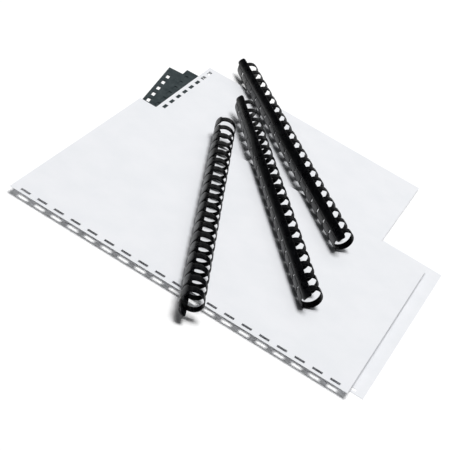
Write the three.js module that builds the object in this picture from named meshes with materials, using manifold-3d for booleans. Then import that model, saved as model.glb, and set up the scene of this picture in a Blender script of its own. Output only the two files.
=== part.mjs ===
// Comb binding set: three plastic binding combs lying on a fan of comb-punched sheets and covers.
// Millimetres, +Z up. The underside of the bottom sheet is at Z = 0. The near side is -Y.
import * as THREE from "three";
import { mergeVertices } from "three/addons/utils/BufferGeometryUtils.js";
import Module from "manifold-3d";

const wasm = await Module();
wasm.setup();

// Punching shared by every sheet and comb.
const PITCH = 14.2875;
const SLOT_LENGTH = 8;
const SLOT_WIDTH = 3;
const SLOT_EDGE = 4.5;
const SLOTS = 19;

// Sheets: the punched long edge lies along local +X, the sheet extends along local +Y.
const SHEET_LENGTH = 279.4;
const SHEET_DEPTH = 215.9;
const COVER_LENGTH = 285.75;
const COVER_DEPTH = 222.25;
const PAPER = 0.3;
const COVER = 0.4;
const PAGES = 3.1;
const PAGES_INSET = 2;
const PAGES_SETBACK = 26;

// Combs: an oval tube with a narrow spine. Angles run round the section from the middle of the spine.
const COMB_SIDE = 9.5;
const COMB_OUT = 9.1;
const WALL = 0.7;
const ROOT_EDGE = 3;
const SPINE_ARC = 25;
const SPINE_OVERHANG = 4;
const TUCK = 34;
const TUCK_INSET = WALL + 0.35;
const FINGER_STEP = 24;
const SPINE_STEPS = 4;
const HINGE_GAP = 0.3;

// Width of a finger from its root round to its tip, and how far round each width reaches.
const FINGER_ZONES = [
  { reach: 78, width: 12.4 },
  { reach: 130, width: 6.8 },
  { reach: Infinity, width: 5.8 },
];

// Position of the whole fan from the bottom sheet's own corner frame.
const CENTRE_X = -139.94;
const CENTRE_Y = -169.43;

// Corner where the punched edge starts, its heading (the sheet lies to its left), underside height,
// and how far the row of slots sits off the middle of the edge.
const letter = { length: SHEET_LENGTH, depth: SHEET_DEPTH, thickness: PAPER, offset: 0 };
const oversize = { length: COVER_LENGTH, depth: COVER_DEPTH, thickness: COVER };
const bottomSheet = { ...letter, x: 11.1, y: 14.7, heading: -0.45, z: 0 };
const lowerCover = { ...oversize, x: -12.3, y: 305.6, heading: -81.8, z: 0.6, offset: 4.3 };
const upperCover = { ...oversize, x: 0.6, y: 317.6, heading: -85.6, z: 1.3, offset: 1.5 };
const middleSheet = { ...letter, x: 12.4, y: 344.8, heading: -89.4, z: 2, depth: COVER_DEPTH };
const topSheet = { ...letter, x: 0, y: 0, heading: 0, z: 6 };
const pageStack = { z: 2.6, thickness: PAGES };

// Centre of the far ring, heading of the axis from far to near, turn of the spine about the axis,
// sense in which the fingers run round, and height of the tube's lowest line at each end.
const RINGS = 19;
const combs = {
  left: { x: 75.65, y: 227.2, heading: -71.25, spine: 236, sense: -1, zFar: 6.6, zNear: 6.6 },
  middle: { x: 74.05, y: 279.8, heading: -55.46, spine: 147, sense: 1, zFar: 6.6, zNear: 6.6 },
  right: { x: 44.1, y: 359.7, heading: -49.4, spine: 145, sense: 1, zFar: 2.2, zNear: 8.2 },
};

const radians = THREE.MathUtils.degToRad;

function whitePaper() {
  return new THREE.MeshStandardMaterial({ color: 0xeef0f3, roughness: 0.85, metalness: 0 });
}

function blackCover() {
  return new THREE.MeshStandardMaterial({ color: 0x2c3032, roughness: 0.6, metalness: 0 });
}

function combPlastic() {
  return new THREE.MeshStandardMaterial({ color: 0x0d0d0f, roughness: 0.35, metalness: 0 });
}

function solidOf(geometry) {
  const bare = geometry.clone();
  bare.deleteAttribute("normal");
  bare.deleteAttribute("uv");
  const merged = mergeVertices(bare, 1e-4);
  return new wasm.Manifold(
    new wasm.Mesh({
      numProp: 3,
      vertProperties: new Float32Array(merged.attributes.position.array),
      triVerts: new Uint32Array(merged.index.array),
    }),
  );
}

function geometryOf(solid) {
  const mesh = solid.getMesh();
  const geometry = new THREE.BufferGeometry();
  geometry.setAttribute("position", new THREE.BufferAttribute(mesh.vertProperties, 3));
  geometry.setIndex(new THREE.BufferAttribute(mesh.triVerts, 1));
  geometry.computeVertexNormals();
  return geometry;
}

function box(width, depth, height, x, y, z) {
  const geometry = new THREE.BoxGeometry(width, depth, height);
  geometry.translate(x, y, z);
  return solidOf(geometry);
}

// A flat sheet with one row of rectangular slots along its long edge.
function punchedSheet({ length, depth, thickness, offset }) {
  let flat = box(length, depth, thickness, length / 2, depth / 2, thickness / 2);
  for (let i = 0; i < SLOTS; i += 1) {
    const x = length / 2 + offset + (i - (SLOTS - 1) / 2) * PITCH;
    flat = flat.subtract(box(SLOT_LENGTH, SLOT_WIDTH, 4 * thickness, x, SLOT_EDGE, 0));
  }
  return geometryOf(flat);
}

function sheet(name, spec, material) {
  const mesh = new THREE.Mesh(punchedSheet(spec), material);
  mesh.name = name;
  mesh.position.set(spec.x, spec.y, spec.z);
  mesh.rotation.z = radians(spec.heading);
  return mesh;
}

// Unpunched block of pages, set back behind the slots of the sheet that lies on it.
function pages(spec, material) {
  const width = SHEET_LENGTH - 2 * PAGES_INSET;
  const depth = SHEET_DEPTH - PAGES_INSET - PAGES_SETBACK;
  const mesh = new THREE.Mesh(new THREE.BoxGeometry(width, depth, spec.thickness), material);
  mesh.name = "page_stack";
  mesh.position.set(SHEET_LENGTH / 2, PAGES_SETBACK + depth / 2, spec.z + spec.thickness / 2);
  return mesh;
}

// Point of the comb's oval section, measured from the middle of the spine, a distance inside it.
function sectionPoint(angle, inset) {
  const a = radians(angle);
  return new THREE.Vector2((COMB_OUT - inset) * Math.cos(a), (COMB_SIDE - inset) * Math.sin(a));
}

// A curved strip of even thickness from one section angle to another; inset gives its outer face.
function stripShape(from, to, steps, inset) {
  const outer = [];
  const inner = [];
  for (let i = 0; i <= steps; i += 1) {
    const angle = from + ((to - from) * i) / steps;
    outer.push(sectionPoint(angle, inset(angle)));
    inner.push(sectionPoint(angle, inset(angle) + WALL));
  }
  return new THREE.Shape([...outer, ...inner.reverse()]);
}

// The finger starts on the tube's surface and ends tucked inside the spine's free edge.
function fingerInset(angle) {
  const start = SPINE_ARC + 60;
  const end = 360 - SPINE_ARC - 20;
  return TUCK_INSET * THREE.MathUtils.smoothstep(Math.abs(angle), start, end);
}

function alongComb(shape, from, to) {
  const geometry = new THREE.ExtrudeGeometry(shape, { depth: to - from, bevelEnabled: false });
  geometry.translate(0, 0, from);
  return geometry;
}

// Fingers and the edge that joins their roots, as one piece along local +Z.
// The fingers run round the section in the given sense, +1 or -1.
function ringBank(sense) {
  const from = SPINE_ARC + THREE.MathUtils.radToDeg(HINGE_GAP / COMB_OUT);
  const tip = 360 - SPINE_ARC + TUCK;
  const length = PITCH * (RINGS - 1);
  const half = FINGER_ZONES[0].width / 2;
  const edge = stripShape(sense * from, sense * (from + ROOT_EDGE), 1, fingerInset);
  let bank = solidOf(alongComb(edge, -half, length + half));
  let start = from;
  for (const zone of FINGER_ZONES) {
    const end = Math.min(from + zone.reach, tip);
    const steps = Math.ceil((end - start) / FINGER_STEP);
    const arc = stripShape(sense * start, sense * end, steps, fingerInset);
    for (let i = 0; i < RINGS; i += 1) {
      const middle = i * PITCH;
      const block = alongComb(arc, middle - zone.width / 2, middle + zone.width / 2);
      bank = bank.add(solidOf(block));
    }
    start = end;
  }
  return geometryOf(bank);
}

// The continuous curved spine that covers the finger tips.
function spine() {
  const shape = stripShape(-SPINE_ARC, SPINE_ARC, SPINE_STEPS, () => 0);
  const length = PITCH * (RINGS - 1);
  const end = FINGER_ZONES[0].width / 2 + SPINE_OVERHANG;
  return alongComb(shape, -end, length + end);
}

// Local +Z of a comb runs from its far ring to its near ring, local +X points out of the spine.
function comb(name, spec) {
  const group = new THREE.Group();
  const length = PITCH * (RINGS - 1);
  const heading = radians(spec.heading);
  const rise = Math.asin((spec.zNear - spec.zFar) / length);
  const along = new THREE.Vector3(
    Math.cos(heading) * Math.cos(rise),
    Math.sin(heading) * Math.cos(rise),
    Math.sin(rise),
  );
  const right = new THREE.Vector3(0, 0, 1).cross(along).normalize();
  const up = along.clone().cross(right);
  const turn = radians(spec.spine);
  const out = right.clone().multiplyScalar(Math.cos(turn)).addScaledVector(up, Math.sin(turn));
  const side = along.clone().cross(out);
  group.matrixAutoUpdate = false;
  group.matrix.makeBasis(out, side, along);
  group.matrix.setPosition(spec.x, spec.y, spec.zFar + COMB_SIDE);
  const bank = new THREE.Mesh(ringBank(spec.sense), combPlastic());
  bank.name = `comb_${name}_rings`;
  const back = new THREE.Mesh(spine(), combPlastic());
  back.name = `comb_${name}_spine`;
  group.add(bank, back);
  return group;
}

const group = new THREE.Group();
group.position.set(CENTRE_X, CENTRE_Y, 0);
group.add(sheet("sheet_bottom", bottomSheet, whitePaper()));
group.add(sheet("cover_lower", lowerCover, blackCover()));
group.add(sheet("cover_upper", upperCover, blackCover()));
group.add(sheet("sheet_middle", middleSheet, whitePaper()));
group.add(pages(pageStack, whitePaper()));
group.add(sheet("sheet_top", topSheet, whitePaper()));
for (const [name, spec] of Object.entries(combs)) {
  group.add(comb(name, spec));
}

export default group;
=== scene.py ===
"""Looks of the comb binding set: three plastic combs on a fan of punched sheets and covers."""
import math
import random

import bpy
from mathutils import Matrix, Vector, noise


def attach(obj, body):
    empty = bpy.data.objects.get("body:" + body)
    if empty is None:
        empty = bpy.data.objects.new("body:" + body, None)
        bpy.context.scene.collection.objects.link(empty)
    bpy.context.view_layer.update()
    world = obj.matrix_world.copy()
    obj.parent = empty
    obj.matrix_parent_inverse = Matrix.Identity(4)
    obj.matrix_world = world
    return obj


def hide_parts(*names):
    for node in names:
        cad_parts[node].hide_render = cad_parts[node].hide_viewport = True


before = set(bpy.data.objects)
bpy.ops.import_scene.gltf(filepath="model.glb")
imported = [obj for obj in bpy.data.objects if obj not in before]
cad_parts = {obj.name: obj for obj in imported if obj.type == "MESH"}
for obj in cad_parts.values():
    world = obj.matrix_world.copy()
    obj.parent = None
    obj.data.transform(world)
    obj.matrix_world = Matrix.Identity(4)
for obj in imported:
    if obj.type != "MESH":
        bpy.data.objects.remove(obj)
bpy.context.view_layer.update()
MM = 0.001


# Camera, in metres and in the frame's axes.
CAMERA_AT = (0.15648, -0.954, 0.53577)
CAMERA_RIGHT = (0.84624, 0.37790, 0.37559)
CAMERA_UP = (-0.50956, 0.36806, 0.77774)
LENS = 110.07

# Punching and sheets, in millimetres, as in the CAD part.
CENTRE = (-139.94, -169.43)
PITCH = 14.2875
SLOT_LENGTH = 8
SLOT_WIDTH = 3
SLOT_EDGE = 4.5
SLOTS = 19
SHEET_LENGTH = 279.4
SHEET_DEPTH = 215.9
COVER_LENGTH = 285.75
COVER_DEPTH = 222.25
PAPER = 0.3
COVER = 0.4

# Grid of a punched sheet: extra lines inside each slot's ends and sides, and about how large the
# cells outside the slots are, along the punched edge and into the sheet.
SLOT_END_LINE = 0.5
SLOT_SIDE_LINE = 0.4
CELL_ALONG = 6
CELL_DEEP = 11

# How far apart the rises and dips of a sheet lie, and how its pattern moves on from seed to seed.
WAVE_SPACING = 85
WAVE_SHIFT = (7.3, 3.1)

# Block of pages: margins at its sides and far edge, distance behind the punched edge, underside and
# height as in the CAD part. Then its leaves: how many, how far they stay inside the block, how far
# each one may stray, and the share of its step that a leaf fills.
PAGES_INSET = 2
PAGES_SETBACK = 26
PAGES_LOW = 2.6
PAGES = 3.1
LEAVES = 20
LEAF_MARGIN = 0.3
LEAF_STRAY = 0.25
LEAF_FILL = 0.8

# Combs, in millimetres and degrees round the section from the middle of the spine.
RINGS = 19
COMB_SIDE = 9.5
COMB_OUT = 9.1
WALL = 0.7
SPINE_ARC = 25
ROOT_GAP = 0.9
TUCK = 34
TUCK_INSET = WALL + 0.35
SPINE_OVERHANG = 4
ROOT_WIDTH = 12.4

# Rounding of the edges: its depth on the outer and inner faces, and where it starts, as a share of the
# way from the middle of a strip to its edge.
OUTER_ROUND = 0.4
INNER_ROUND = 0.12
ROUND_START = 0.78

# A finger, in degrees: its width in millimetres at each angle past its root, its sections near the
# root, the start and rough step of those in the middle, its sections back from the tip, and the angle
# over which the tip narrows. The tip keeps at least the square root of TIP_LEAST of its width.
FINGER_WIDTHS = (
    (0, 14.3),
    (2, 13.3),
    (5, 13),
    (66, 12.7),
    (74, 11.9),
    (79, 8.3),
    (84, 7),
    (130, 6.6),
    (320, 5.6),
)
ROOT_SECTIONS = (0, 1, 2, 3.5, 5.5, 12, 24, 36, 48, 58, 66, 70, 73, 75, 77, 79, 81, 84, 89)
MIDDLE_START = 96
MIDDLE_STEP = 8
TIP_SECTIONS = (20, 15, 11, 7, 4, 2, 0)
TIP_ARC = 20
TIP_LEAST = 0.02

# A finger leaves the tube's surface at the first angle and is fully tucked in at the second. Each
# finger also leans along the comb and springs in or out by up to these amounts at its tip.
TUCK_START = SPINE_ARC + 60
TUCK_END = 360 - SPINE_ARC - 20
LEAN = 0.18
SPRING = 0.08

# Rounded corners of the spine: their length along the comb, the share of the arc that they take off,
# and where their sections lie, as shares of that length from the end.
SPINE_CORNER = 3.2
SPINE_CORNER_CUT = 0.34
CORNER_STATIONS = (0, 0.05, 0.15, 0.35, 0.6, 1)

# Places across a finger and across the spine, from one edge to the other.
FINGER_ACROSS = (-1, -0.985, -0.95, -0.89, -0.78, -0.4, 0, 0.4, 0.78, 0.89, 0.95, 0.985, 1)
SPINE_ACROSS = (-1, -0.985, -0.95, -0.88, -0.7, -0.45, -0.2, 0, 0.2, 0.45, 0.7, 0.88, 0.95, 0.985, 1)

# Floor, in millimetres, and the angle up to which a surface is shaded smooth, in degrees.
FLOOR_REACH = 4000
FLOOR_DROP = 0.1
SMOOTH_ANGLE = 35

COMBS = {
    "left": dict(x=75.65, y=227.2, heading=-71.25, spine=236, sense=-1, z_far=6.6, z_near=6.6),
    "middle": dict(x=74.05, y=279.8, heading=-55.46, spine=147, sense=1, z_far=6.6, z_near=6.6),
    "right": dict(x=44.1, y=359.7, heading=-49.4, spine=145, sense=1, z_far=2.2, z_near=8.2),
}


# ---------------------------------------------------------------- camera, floor and light
def make_camera():
    right, up = Vector(CAMERA_RIGHT).normalized(), Vector(CAMERA_UP).normalized()
    back = right.cross(up).normalized()
    turn = Matrix((right, up, back)).transposed().to_4x4()
    data = bpy.data.cameras.new("camera")
    data.lens = LENS
    data.sensor_width = 36
    data.clip_start = 0.01
    camera = bpy.data.objects.new("camera", data)
    camera.matrix_world = Matrix.Translation(CAMERA_AT) @ turn
    bpy.context.scene.collection.objects.link(camera)
    bpy.context.scene.camera = camera


def area_light(name, at, target, size, power):
    data = bpy.data.lights.new(name, "AREA")
    data.shape = "RECTANGLE"
    data.size, data.size_y = size
    data.energy = power
    light = bpy.data.objects.new(name, data)
    light.location = at
    light.rotation_euler = (Vector(target) - Vector(at)).to_track_quat("-Z", "Y").to_euler()
    bpy.context.scene.collection.objects.link(light)
    return light


def make_light():
    """Soft overhead key, weak fill from behind, weak sky, and a low back panel seen only as sheen."""
    world = bpy.data.worlds.new("studio")
    world.use_nodes = True
    sky = world.node_tree.nodes["Background"]
    sky.inputs["Color"].default_value = (0.95, 0.98, 1, 1)
    sky.inputs["Strength"].default_value = 0.09
    world.cycles_visibility.glossy = False
    bpy.context.scene.world = world
    bpy.context.scene.view_settings.view_transform = "Standard"
    key = area_light("key", (-0.02, -0.26, 2.8), (0, 0, 0), (1.15, 1.15), 76)
    key.visible_glossy = False
    fill = area_light("fill", (0.05, 0.8, 0.9), (0, 0.1, 0), (0.8, 0.8), 2.4)
    fill.visible_glossy = False
    panel = area_light("panel", (-0.45, 1.25, 0.5), (0, 0, 0.02), (1.1, 0.35), 0.7)
    panel.visible_diffuse = False


# ---------------------------------------------------------------- materials
def shader(name, colour, roughness):
    material = bpy.data.materials.new(name)
    material.use_nodes = True
    surface = material.node_tree.nodes["Principled BSDF"]
    surface.inputs["Base Color"].default_value = (*colour, 1)
    surface.inputs["Roughness"].default_value = roughness
    return material, surface


def add_noise(tree, scale, detail, stretch=(1, 1, 1)):
    coords = tree.nodes.new("ShaderNodeTexCoord")
    mapping = tree.nodes.new("ShaderNodeMapping")
    mapping.inputs["Scale"].default_value = stretch
    texture = tree.nodes.new("ShaderNodeTexNoise")
    texture.inputs["Scale"].default_value = scale
    texture.inputs["Detail"].default_value = detail
    tree.links.new(coords.outputs["Object"], mapping.inputs["Vector"])
    tree.links.new(mapping.outputs["Vector"], texture.inputs["Vector"])
    return texture.outputs["Fac"]


def add_ramp(tree, source, low, high, start=0.35, end=0.65):
    ramp = tree.nodes.new("ShaderNodeValToRGB")
    ramp.color_ramp.elements[0].position = start
    ramp.color_ramp.elements[1].position = end
    ramp.color_ramp.elements[0].color = (*low, 1)
    ramp.color_ramp.elements[1].color = (*high, 1)
    tree.links.new(source, ramp.inputs["Fac"])
    return ramp.outputs["Color"]


def add_bump(tree, surface, height, strength, distance, below=None):
    bump = tree.nodes.new("ShaderNodeBump")
    bump.inputs["Strength"].default_value = strength
    bump.inputs["Distance"].default_value = distance
    tree.links.new(height, bump.inputs["Height"])
    if below is not None:
        tree.links.new(below, bump.inputs["Normal"])
    tree.links.new(bump.outputs["Normal"], surface.inputs["Normal"])
    return bump.outputs["Normal"]


def paper_material():
    """Uncoated white office paper: faint fibre mottling and a soft, matte, slightly uneven surface."""
    material, surface = shader("paper", (0.79, 0.8, 0.825), 0.85)
    tree = material.node_tree
    mottle = add_noise(tree, 45, 3)
    tone = add_ramp(tree, mottle, (0.775, 0.787, 0.812), (0.8, 0.808, 0.832))
    tree.links.new(tone, surface.inputs["Base Color"])
    fibres = add_noise(tree, 2600, 4, (1, 1.6, 1))
    sheet_wave = add_noise(tree, 14, 1)
    wave = add_bump(tree, surface, sheet_wave, 0.25, 0.004)
    add_bump(tree, surface, fibres, 0.12, 0.0002, wave)
    surface.inputs["Specular IOR Level"].default_value = 0.25
    return material


def cover_material():
    """Black leather-grain card: fine cells, a satin sheen and faint random patches of lighter and
    darker tone.
    """
    material, surface = shader("cover_card", (0.038, 0.05, 0.053), 0.6)
    tree = material.node_tree
    coords = tree.nodes.new("ShaderNodeTexCoord")
    cells = tree.nodes.new("ShaderNodeTexVoronoi")
    cells.inputs["Scale"].default_value = 900
    cells.inputs["Randomness"].default_value = 0.9
    tree.links.new(coords.outputs["Object"], cells.inputs["Vector"])
    patches = add_noise(tree, 160, 5)
    tone = add_ramp(tree, patches, (0.026, 0.037, 0.04), (0.05, 0.064, 0.068), 0.3, 0.7)
    tree.links.new(tone, surface.inputs["Base Color"])
    grain = add_bump(tree, surface, cells.outputs["Distance"], 0.5, 0.0002)
    add_bump(tree, surface, add_noise(tree, 420, 3), 0.3, 0.0002, grain)
    return material


def comb_material():
    """Moulded black PVC: glossy, with fine drag lines along the comb, faint haze and orange peel."""
    material, surface = shader("comb_plastic", (0.003, 0.003, 0.0035), 0.3)
    surface.inputs["Specular IOR Level"].default_value = 0.35
    tree = material.node_tree
    haze = add_noise(tree, 120, 4)
    rough = tree.nodes.new("ShaderNodeMapRange")
    rough.inputs["From Min"].default_value = 0.3
    rough.inputs["From Max"].default_value = 0.7
    rough.inputs["To Min"].default_value = 0.22
    rough.inputs["To Max"].default_value = 0.42
    tree.links.new(haze, rough.inputs["Value"])
    tree.links.new(rough.outputs["Result"], surface.inputs["Roughness"])
    specks = add_noise(tree, 700, 6)
    dust = add_ramp(tree, specks, (0.0015, 0.0015, 0.002), (0.014, 0.015, 0.017), 0.52, 0.8)
    tree.links.new(dust, surface.inputs["Base Color"])
    peel = add_bump(tree, surface, add_noise(tree, 900, 2), 0.12, 0.0002)
    add_bump(tree, surface, add_noise(tree, 3500, 3, (1, 0.2, 1)), 0.06, 0.0001, peel)
    return material


def floor_material():
    material, surface = shader("floor", (1, 1, 1), 0.95)
    tree = material.node_tree
    tone = add_ramp(tree, add_noise(tree, 3, 1), (0.98, 0.985, 0.985), (1, 1, 1))
    tree.links.new(tone, surface.inputs["Base Color"])
    surface.inputs["Specular IOR Level"].default_value = 0.1
    return material


# ---------------------------------------------------------------- mesh helpers
def mesh_object(name, verts, faces, material):
    mesh = bpy.data.meshes.new(name)
    mesh.from_pydata([Vector(v) * MM for v in verts], [], faces)
    mesh.validate()
    mesh.materials.append(material)
    obj = bpy.data.objects.new(name, mesh)
    bpy.context.scene.collection.objects.link(obj)
    mesh.polygons.foreach_set("use_smooth", [True] * len(mesh.polygons))
    mesh.set_sharp_from_angle(angle=math.radians(SMOOTH_ANGLE))
    return obj


def add_shell(verts, faces, top, bottom):
    """Closed shell from two grids of points of the same size; top faces out."""
    rows, cols = len(top), len(top[0])
    base = len(verts)
    for grid in (top, bottom):
        for row in grid:
            verts.extend(row)
    under = rows * cols

    def at(i, j):
        return base + i * cols + j

    for i in range(rows - 1):
        for j in range(cols - 1):
            a, b, c, d = at(i, j), at(i, j + 1), at(i + 1, j + 1), at(i + 1, j)
            faces.append((a, b, c, d))
            faces.append((a + under, d + under, c + under, b + under))
    rim = [(i, 0) for i in range(rows)] + [(rows - 1, j) for j in range(1, cols)]
    rim += [(i, cols - 1) for i in range(rows - 2, -1, -1)] + [(0, j) for j in range(cols - 2, 0, -1)]
    for here, following in zip(rim, rim[1:] + rim[:1]):
        a, b = at(*here), at(*following)
        faces.append((a, b, b + under, a + under))


# ---------------------------------------------------------------- sheets
def spread(start, end, step):
    count = max(1, round((end - start) / step))
    return [start + (end - start) * i / count for i in range(count)]


def slot_lines(length, offset):
    """Grid lines across a punched sheet, and the set of columns that the slots open."""
    middle = length / 2 + offset
    lines, open_columns = [], set()
    edge = 0.0
    for i in range(SLOTS):
        start = middle + (i - (SLOTS - 1) / 2) * PITCH - SLOT_LENGTH / 2
        lines += spread(edge, start, CELL_ALONG)
        lines.append(start)
        open_columns.update(range(len(lines) - 1, len(lines) + 2))
        lines += [start + SLOT_END_LINE, start + SLOT_LENGTH - SLOT_END_LINE]
        edge = start + SLOT_LENGTH
    lines += spread(edge, length, CELL_ALONG) + [length]
    return lines, open_columns


def slab(name, xs, ys, is_open, low, thickness, wave, place, material):
    """A thin solid over the cells of a grid, with holes where is_open says; wave lifts both faces."""
    verts, faces, index = [], [], {}
    for j, y in enumerate(ys):
        for i, x in enumerate(xs):
            lift = wave(x, y)
            index[i, j] = len(verts)
            verts.append(place(x, y, low + thickness + lift))
            verts.append(place(x, y, low + lift))
    cells = {(i, j) for i in range(len(xs) - 1) for j in range(len(ys) - 1) if not is_open(i, j)}
    for i, j in cells:
        a, b, c, d = index[i, j], index[i + 1, j], index[i + 1, j + 1], index[i, j + 1]
        faces.append((a, b, c, d))
        faces.append((d + 1, c + 1, b + 1, a + 1))
        sides = (
            ((i, j - 1), a, b),
            ((i + 1, j), b, c),
            ((i, j + 1), c, d),
            ((i - 1, j), d, a),
        )
        for near, start, end in sides:
            if near not in cells:
                faces.append((start, start + 1, end + 1, end))
    used = sorted({v for face in faces for v in face})
    new = {old: k for k, old in enumerate(used)}
    faces = [tuple(new[v] for v in face) for face in faces]
    return mesh_object(name, [verts[v] for v in used], faces, material)


def placed(x0, y0, heading):
    turn = math.radians(heading)
    c, s = math.cos(turn), math.sin(turn)

    def place(x, y, z):
        return (x0 + CENTRE[0] + x * c - y * s, y0 + CENTRE[1] + x * s + y * c, z)

    return place


def gentle(seed, height):
    """Lie of a sheet that is not quite flat."""
    shift = Vector((seed * WAVE_SHIFT[0], seed * WAVE_SHIFT[1], 0))

    def wave(x, y):
        return height * noise.noise(Vector((x, y, 0)) / WAVE_SPACING + shift)

    return wave


# Millimetres and degrees: corner where the punched edge starts, its heading, the sheet's underside, how
# far its slots sit off the middle of the edge, and how far it may rise or dip.
LETTER = dict(length=SHEET_LENGTH, depth=SHEET_DEPTH, thickness=PAPER, offset=0)
OVERSIZE = dict(length=COVER_LENGTH, depth=COVER_DEPTH, thickness=COVER)
SHEETS = {
    "sheet_bottom": dict(LETTER, x=11.1, y=14.7, heading=-0.45, z=0, lift=0.05),
    "cover_lower": dict(OVERSIZE, x=-12.3, y=305.6, heading=-81.8, z=0.6, offset=4.3, lift=0.1),
    "cover_upper": dict(OVERSIZE, x=0.6, y=317.6, heading=-85.6, z=1.3, offset=1.5, lift=0.1),
    "sheet_middle": dict(LETTER, x=12.4, y=344.8, heading=-89.4, z=2, depth=COVER_DEPTH, lift=0.12),
    "sheet_top": dict(LETTER, x=0, y=0, heading=0, z=6, lift=0.12),
}


def punched(node, spec, material, seed):
    """One punched sheet with its row of rectangular slots."""
    xs, open_columns = slot_lines(spec["length"], spec["offset"])
    low, high = SLOT_EDGE - SLOT_WIDTH / 2, SLOT_EDGE + SLOT_WIDTH / 2
    depth = spec["depth"]
    ys = [0, low, low + SLOT_SIDE_LINE, high - SLOT_SIDE_LINE]
    ys += spread(high, depth, CELL_DEEP) + [depth]

    def is_open(i, j):
        return i in open_columns and 1 <= j <= 3

    place = placed(spec["x"], spec["y"], spec["heading"])
    wave = gentle(seed, spec["lift"])
    piece = slab(f"{node}_looks", xs, ys, is_open, spec["z"], spec["thickness"], wave, place, material)
    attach(piece, node)
    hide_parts(node)


def page_block(material):
    """The block of pages under the top sheet, as separate leaves with a slightly uneven edge."""
    chance = random.Random(4)
    verts, faces = [], []
    step = PAGES / LEAVES
    side = PAGES_INSET + LEAF_MARGIN
    near = PAGES_SETBACK + LEAF_MARGIN
    place = placed(0, 0, 0)
    for k in range(LEAVES):
        dx = chance.uniform(-LEAF_STRAY, LEAF_STRAY)
        dy = chance.uniform(-LEAF_STRAY, LEAF_STRAY)
        x0, x1 = side + dx, SHEET_LENGTH - side + dx
        y0, y1 = near + dy, SHEET_DEPTH - side + dy
        low = PAGES_LOW + k * step
        high = low + LEAF_FILL * step
        top = [
            [place(x0, y0, high), place(x1, y0, high)],
            [place(x0, y1, high), place(x1, y1, high)],
        ]
        bottom = [[(x, y, low) for x, y, _ in row] for row in top]
        add_shell(verts, faces, top, bottom)
    piece = mesh_object("pages", verts, faces, material)
    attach(piece, "page_stack")
    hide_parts("page_stack")


# ---------------------------------------------------------------- combs
def between(table, value):
    for (a, wa), (b, wb) in zip(table, table[1:]):
        if value <= b:
            return wa + (wb - wa) * (value - a) / (b - a)
    return table[-1][1]


def smoothstep(value, start, end):
    t = min(1.0, max(0.0, (value - start) / (end - start)))
    return t * t * (3 - 2 * t)


def comb_basis(spec):
    length = PITCH * (RINGS - 1)
    heading = math.radians(spec["heading"])
    rise = math.asin((spec["z_near"] - spec["z_far"]) / length)
    level = math.cos(rise)
    along = Vector((math.cos(heading) * level, math.sin(heading) * level, math.sin(rise)))
    right = Vector((0, 0, 1)).cross(along).normalized()
    up = along.cross(right)
    turn = math.radians(spec["spine"])
    out = right * math.cos(turn) + up * math.sin(turn)
    side = along.cross(out)
    origin = Vector((spec["x"] + CENTRE[0], spec["y"] + CENTRE[1], spec["z_far"] + COMB_SIDE))

    def point(angle, inset, z):
        a = math.radians(angle)
        outward = out * (COMB_OUT - inset) * math.cos(a)
        sideways = side * (COMB_SIDE - inset) * math.sin(a)
        return origin + outward + sideways + along * z

    return point


def edge_drop(v):
    """Share of the full rounding by which a face has dropped, for v from -1 to 1 across it."""
    t = max(0.0, (abs(v) - ROUND_START) / (1 - ROUND_START))
    return 1 - math.sqrt(max(0.0, 1 - t * t))


def finger(point, sense, middle, verts, faces, chance):
    """One finger from its root, round the tube, to its rounded tip tucked under the spine."""
    start = SPINE_ARC + ROOT_GAP
    tip = 360 - SPINE_ARC + TUCK
    lean = chance.uniform(-LEAN, LEAN)
    spring = chance.uniform(-SPRING, SPRING)
    angles = [start + past for past in ROOT_SECTIONS]
    angles += spread(start + MIDDLE_START, tip - TIP_ARC, MIDDLE_STEP)
    angles += [tip - before for before in TIP_SECTIONS]
    top, bottom = [], []
    for angle in angles:
        width = between(FINGER_WIDTHS, angle - start)
        ending = max(0.0, (angle - (tip - TIP_ARC)) / TIP_ARC)
        width *= math.sqrt(max(TIP_LEAST, 1 - ending * ending))
        round_tube = smoothstep(angle, TUCK_START, TUCK_END)
        inset = (TUCK_INSET + spring) * round_tube
        z = middle + lean * round_tube
        outer, inner = [], []
        for v in FINGER_ACROSS:
            drop = edge_drop(v)
            outer.append(point(sense * angle, inset + OUTER_ROUND * drop, z + v * width / 2))
            inner.append(point(sense * angle, inset + WALL - INNER_ROUND * drop, z + v * width / 2))
        top.append(outer)
        bottom.append(inner)
    if sense > 0:
        add_shell(verts, faces, [row[::-1] for row in top], [row[::-1] for row in bottom])
    else:
        add_shell(verts, faces, top, bottom)


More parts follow.
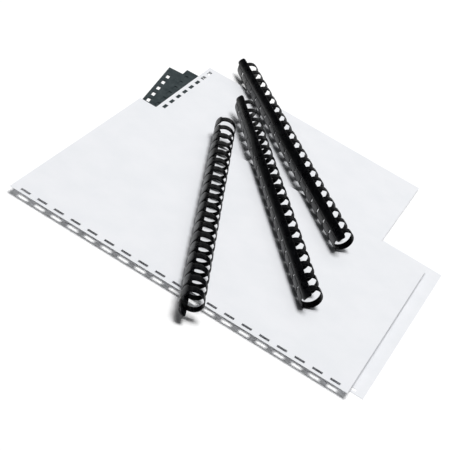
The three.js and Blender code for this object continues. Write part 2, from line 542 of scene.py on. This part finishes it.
def band(point, stations, share_at, verts, faces):
    """The spine's curved strip; share_at gives how much of its arc is left at each station."""
    top, bottom = [], []
    for z in stations:
        outer, inner = [], []
        half_arc = SPINE_ARC * share_at(z)
        for v in SPINE_ACROSS:
            drop = edge_drop(v)
            outer.append(point(half_arc * v, OUTER_ROUND * drop, z))
            inner.append(point(half_arc * v, WALL - INNER_ROUND * drop, z))
        top.append(outer)
        bottom.append(inner)
    add_shell(verts, faces, top, bottom)


def comb(name, spec, material, seed):
    """One comb as two pieces. Where the sense is +1 its fingers lie still and its spine opens."""
    point = comb_basis(spec)
    length = PITCH * (RINGS - 1)
    chance = random.Random(seed)
    verts, faces = [], []
    for i in range(RINGS):
        finger(point, spec["sense"], i * PITCH, verts, faces, chance)
    rings = mesh_object(f"{name}_fingers", verts, faces, material)
    held = spec["sense"] > 0
    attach(rings, f"comb_{name}" if held else f"comb_{name}_fingers")
    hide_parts(f"comb_{name}_rings")

    first = -ROOT_WIDTH / 2 - SPINE_OVERHANG
    last = length - first

    def share_at(z):
        into_corner = max(first + SPINE_CORNER - z, z - (last - SPINE_CORNER)) / SPINE_CORNER
        past = max(0.0, into_corner)
        return 1 - SPINE_CORNER_CUT * (1 - math.sqrt(max(0.0, 1 - past * past)))

    stations = [first + SPINE_CORNER * t for t in CORNER_STATIONS]
    stations += spread(0, length, PITCH) + [length]
    stations += [last - SPINE_CORNER * t for t in reversed(CORNER_STATIONS)]
    verts, faces = [], []
    band(point, stations, share_at, verts, faces)
    back = mesh_object(f"{name}_back", verts, faces, material)
    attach(back, f"comb_{name}_back" if held else f"comb_{name}")
    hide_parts(f"comb_{name}_spine")


def make_floor():
    corners = ((-1, -1), (1, -1), (1, 1), (-1, 1))
    verts = [(x * FLOOR_REACH, y * FLOOR_REACH, -FLOOR_DROP) for x, y in corners]
    floor = mesh_object("floor", verts, [(0, 1, 2, 3)], floor_material())


make_camera()
make_light()
make_floor()
paper = paper_material()
card = cover_material()
plastic = comb_material()
for number, (sheet_node, sheet_spec) in enumerate(SHEETS.items(), start=1):
    if sheet_node.startswith("cover"):
        punched(sheet_node, sheet_spec, card, number)
    else:
        punched(sheet_node, sheet_spec, paper, number)
page_block(paper)
for number, (comb_name, comb_spec) in enumerate(COMBS.items(), start=1):
    comb(comb_name, comb_spec, plastic, number)
